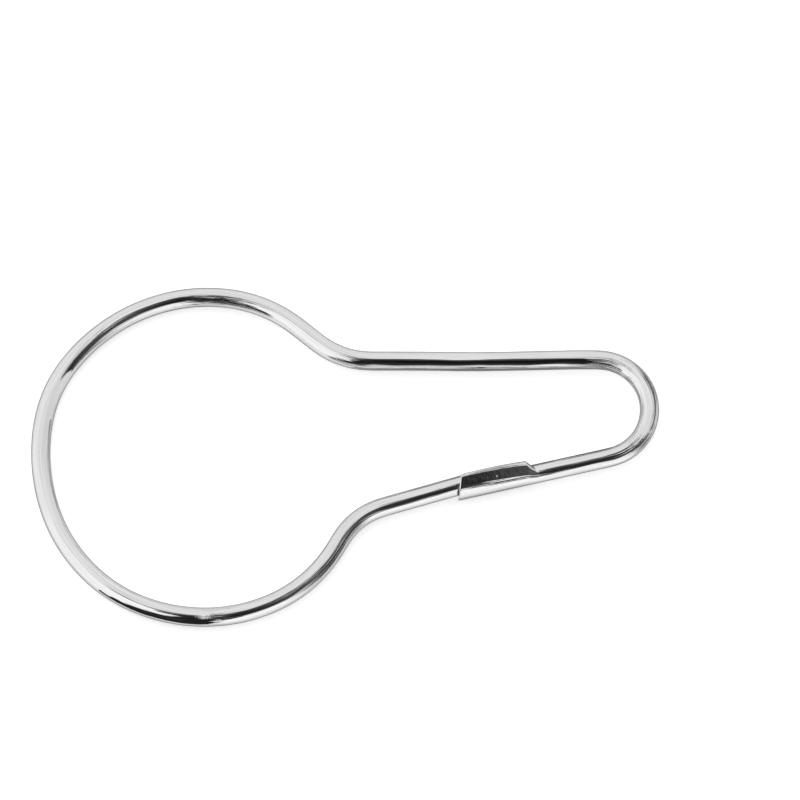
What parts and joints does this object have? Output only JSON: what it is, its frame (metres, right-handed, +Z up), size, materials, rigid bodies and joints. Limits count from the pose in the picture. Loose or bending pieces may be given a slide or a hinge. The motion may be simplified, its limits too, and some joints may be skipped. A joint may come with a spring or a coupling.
{
  "type": "curtain hook",
  "caption": "Plated wire curtain hook with a large rod ring, two legs closing to a rounded tip, and a folded catch that holds the wire's sprung free end.",
  "frame": {"origin": "centre of the hook's footprint, on the flat surface that it lies on", "axes": "+X along the hook from the ring to the tip, +Y towards the leg without the catch, +Z up, out of the hook's plane"},
  "size_m": [0.0722, 0.04, 0.0039],
  "materials": {
    "plated_wire": "bright nickel or chrome plating over steel wire, with faint drawing lines and small dents at the catch"
  },
  "bodies": {
    "root": {"hook": "plated_wire"}
  },
  "joints": []
}
